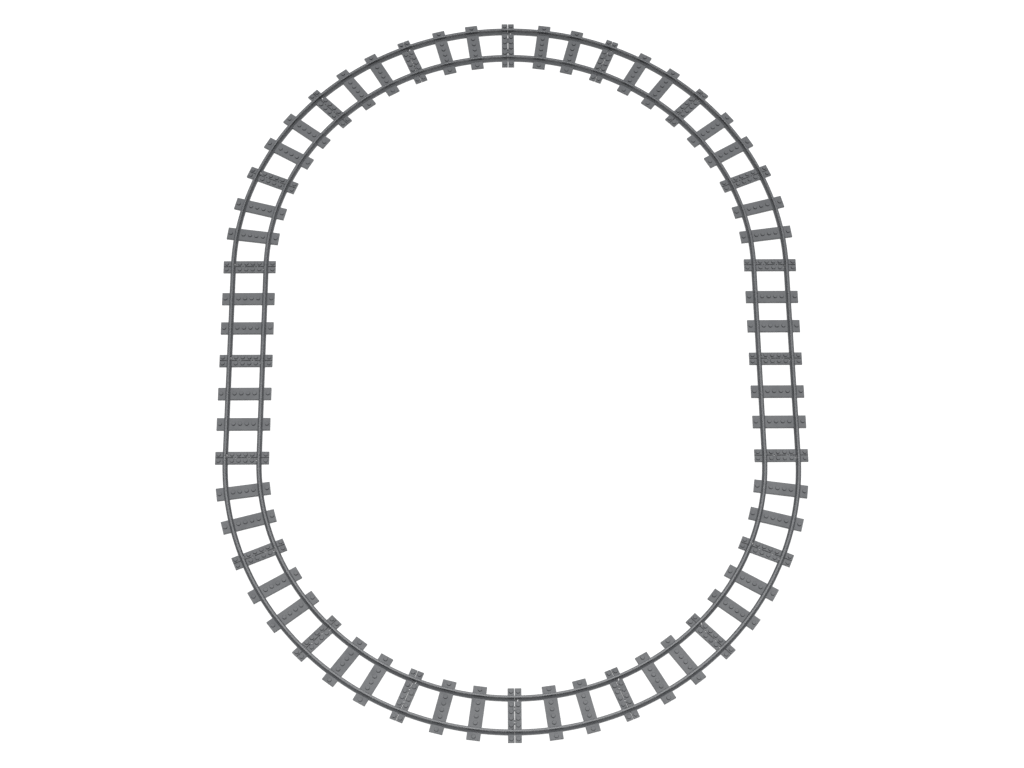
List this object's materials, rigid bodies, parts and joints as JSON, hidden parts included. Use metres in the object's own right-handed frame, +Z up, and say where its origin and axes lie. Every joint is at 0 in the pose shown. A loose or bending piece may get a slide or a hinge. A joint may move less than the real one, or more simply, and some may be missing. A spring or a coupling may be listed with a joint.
{
  "type": "toy train track loop",
  "caption": "Closed oval of clip-together toy train track: grey plastic sections with two rails on studded sleepers, straight at the sides and curved at the ends.",
  "frame": {"origin": "centre of the oval, on the surface that the track lies on", "axes": "+Z up; +Y along the oval's long axis, away from the viewer; +X to the viewer's right"},
  "size_m": [0.7038, 0.9598, 0.0096],
  "materials": {
    "track_plastic": "satin moulded plastic, dark cool grey"
  },
  "bodies": {
    "straight_right_1": {"straight_right_1": "track_plastic"},
    "straight_right_2": {"straight_right_2": "track_plastic"},
    "curve_back_1": {"curve_back_1": "track_plastic"},
    "curve_back_2": {"curve_back_2": "track_plastic"},
    "curve_back_3": {"curve_back_3": "track_plastic"},
    "curve_back_4": {"curve_back_4": "track_plastic"},
    "curve_back_5": {"curve_back_5": "track_plastic"},
    "curve_back_6": {"curve_back_6": "track_plastic"},
    "curve_back_7": {"curve_back_7": "track_plastic"},
    "curve_back_8": {"curve_back_8": "track_plastic"},
    "straight_left_1": {"straight_left_1": "track_plastic"},
    "straight_left_2": {"straight_left_2": "track_plastic"},
    "curve_front_1": {"curve_front_1": "track_plastic"},
    "curve_front_2": {"curve_front_2": "track_plastic"},
    "curve_front_3": {"curve_front_3": "track_plastic"},
    "curve_front_4": {"curve_front_4": "track_plastic"},
    "curve_front_5": {"curve_front_5": "track_plastic"},
    "curve_front_6": {"curve_front_6": "track_plastic"},
    "curve_front_7": {"curve_front_7": "track_plastic"},
    "curve_front_8": {"curve_front_8": "track_plastic"}
  },
  "joints": [
    {"name": "straight_right_2_lift", "type": "slide", "parent": "straight_right_1", "child": "straight_right_2", "axis": [0, 0, 1], "range_m": [0, 0.03]},
    {"name": "curve_back_1_lift", "type": "slide", "parent": "straight_right_1", "child": "curve_back_1", "axis": [0, 0, 1], "range_m": [0, 0.03]},
    {"name": "curve_back_2_lift", "type": "slide", "parent": "straight_right_1", "child": "curve_back_2", "axis": [0, 0, 1], "range_m": [0, 0.03]},
    {"name": "curve_back_3_lift", "type": "slide", "parent": "straight_right_1", "child": "curve_back_3", "axis": [0, 0, 1], "range_m": [0, 0.03]},
    {"name": "curve_back_4_lift", "type": "slide", "parent": "straight_right_1", "child": "curve_back_4", "axis": [0, 0, 1], "range_m": [0, 0.03]},
    {"name": "curve_back_5_lift", "type": "slide", "parent": "straight_right_1", "child": "curve_back_5", "axis": [0, 0, 1], "range_m": [0, 0.03]},
    {"name": "curve_back_6_lift", "type": "slide", "parent": "straight_right_1", "child": "curve_back_6", "axis": [0, 0, 1], "range_m": [0, 0.03]},
    {"name": "curve_back_7_lift", "type": "slide", "parent": "straight_right_1", "child": "curve_back_7", "axis": [0, 0, 1], "range_m": [0, 0.03]},
    {"name": "curve_back_8_lift", "type": "slide", "parent": "straight_right_1", "child": "curve_back_8", "axis": [0, 0, 1], "range_m": [0, 0.03]},
    {"name": "straight_left_1_lift", "type": "slide", "parent": "straight_right_1", "child": "straight_left_1", "axis": [0, 0, 1], "range_m": [0, 0.03]},
    {"name": "straight_left_2_lift", "type": "slide", "parent": "straight_right_1", "child": "straight_left_2", "axis": [0, 0, 1], "range_m": [0, 0.03]},
    {"name": "curve_front_1_lift", "type": "slide", "parent": "straight_right_1", "child": "curve_front_1", "axis": [0, 0, 1], "range_m": [0, 0.03]},
    {"name": "curve_front_2_lift", "type": "slide", "parent": "straight_right_1", "child": "curve_front_2", "axis": [0, 0, 1], "range_m": [0, 0.03]},
    {"name": "curve_front_3_lift", "type": "slide", "parent": "straight_right_1", "child": "curve_front_3", "axis": [0, 0, 1], "range_m": [0, 0.03]},
    {"name": "curve_front_4_lift", "type": "slide", "parent": "straight_right_1", "child": "curve_front_4", "axis": [0, 0, 1], "range_m": [0, 0.03]},
    {"name": "curve_front_5_lift", "type": "slide", "parent": "straight_right_1", "child": "curve_front_5", "axis": [0, 0, 1], "range_m": [0, 0.03]},
    {"name": "curve_front_6_lift", "type": "slide", "parent": "straight_right_1", "child": "curve_front_6", "axis": [0, 0, 1], "range_m": [0, 0.03]},
    {"name": "curve_front_7_lift", "type": "slide", "parent": "straight_right_1", "child": "curve_front_7", "axis": [0, 0, 1], "range_m": [0, 0.03]},
    {"name": "curve_front_8_lift", "type": "slide", "parent": "straight_right_1", "child": "curve_front_8", "axis": [0, 0, 1], "range_m": [0, 0.03]}
  ]
}
